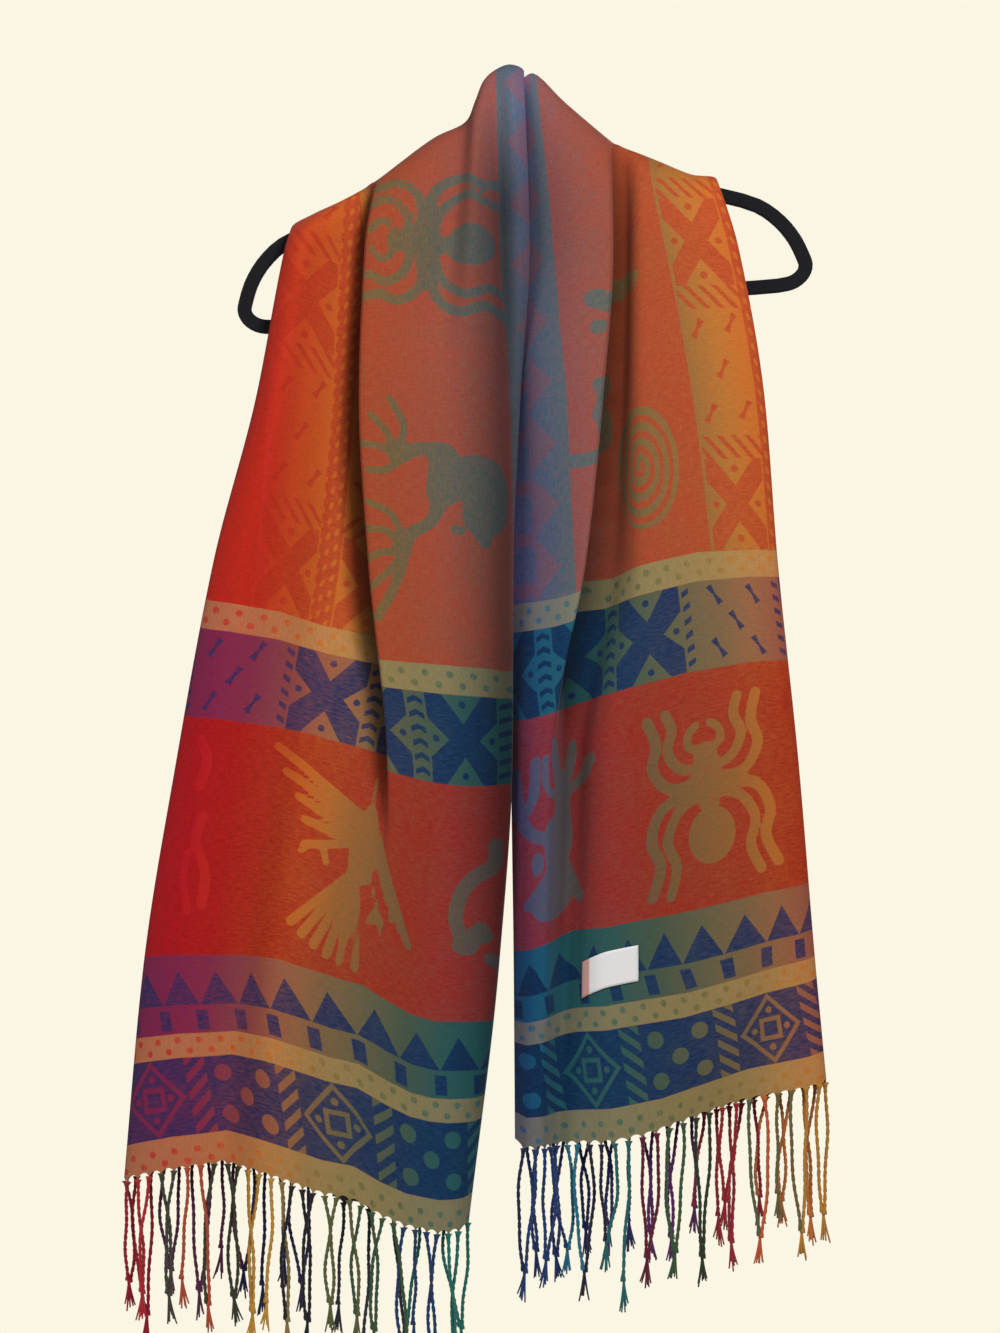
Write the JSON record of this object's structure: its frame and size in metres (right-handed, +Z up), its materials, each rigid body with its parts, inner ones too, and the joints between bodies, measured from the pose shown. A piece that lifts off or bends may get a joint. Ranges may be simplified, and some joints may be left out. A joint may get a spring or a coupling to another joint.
{
  "type": "pashmina shawl hung on a velvet clothes hanger",
  "caption": "Long fringed pashmina shawl draped over a slim velvet clothes hanger, both ends hanging in front in soft folds.",
  "frame": {"origin": "the seat of the hook: the point inside the top of its wire that rests on the rail or peg", "axes": "+Z up, +X to the viewer's right along the hanger, -Y towards the viewer, the side on which both ends of the shawl hang"},
  "size_m": [0.5449, 0.0752, 1.0324],
  "materials": {
    "cloth_left": "soft jacquard twill, rainbow motifs on red and blue grounds",
    "cloth_right": "soft jacquard twill, rainbow motifs on red and blue grounds",
    "cloth_back": "soft jacquard twill",
    "fringe_left": "twisted knotted wool cords",
    "fringe_right": "twisted knotted wool cords",
    "label": "satin woven label, blank",
    "velvet": "black velvet flock",
    "ferrule_steel": "satin",
    "hook_steel": "bright"
  },
  "bodies": {
    "root": {"left_front": "cloth_left", "right_front": "cloth_right", "back_stretch": "cloth_back", "left_fringe": "fringe_left", "right_fringe": "fringe_right", "label": "label", "hanger_frame": "velvet", "hook_ferrule": "ferrule_steel", "hook": "hook_steel"}
  },
  "joints": []
}
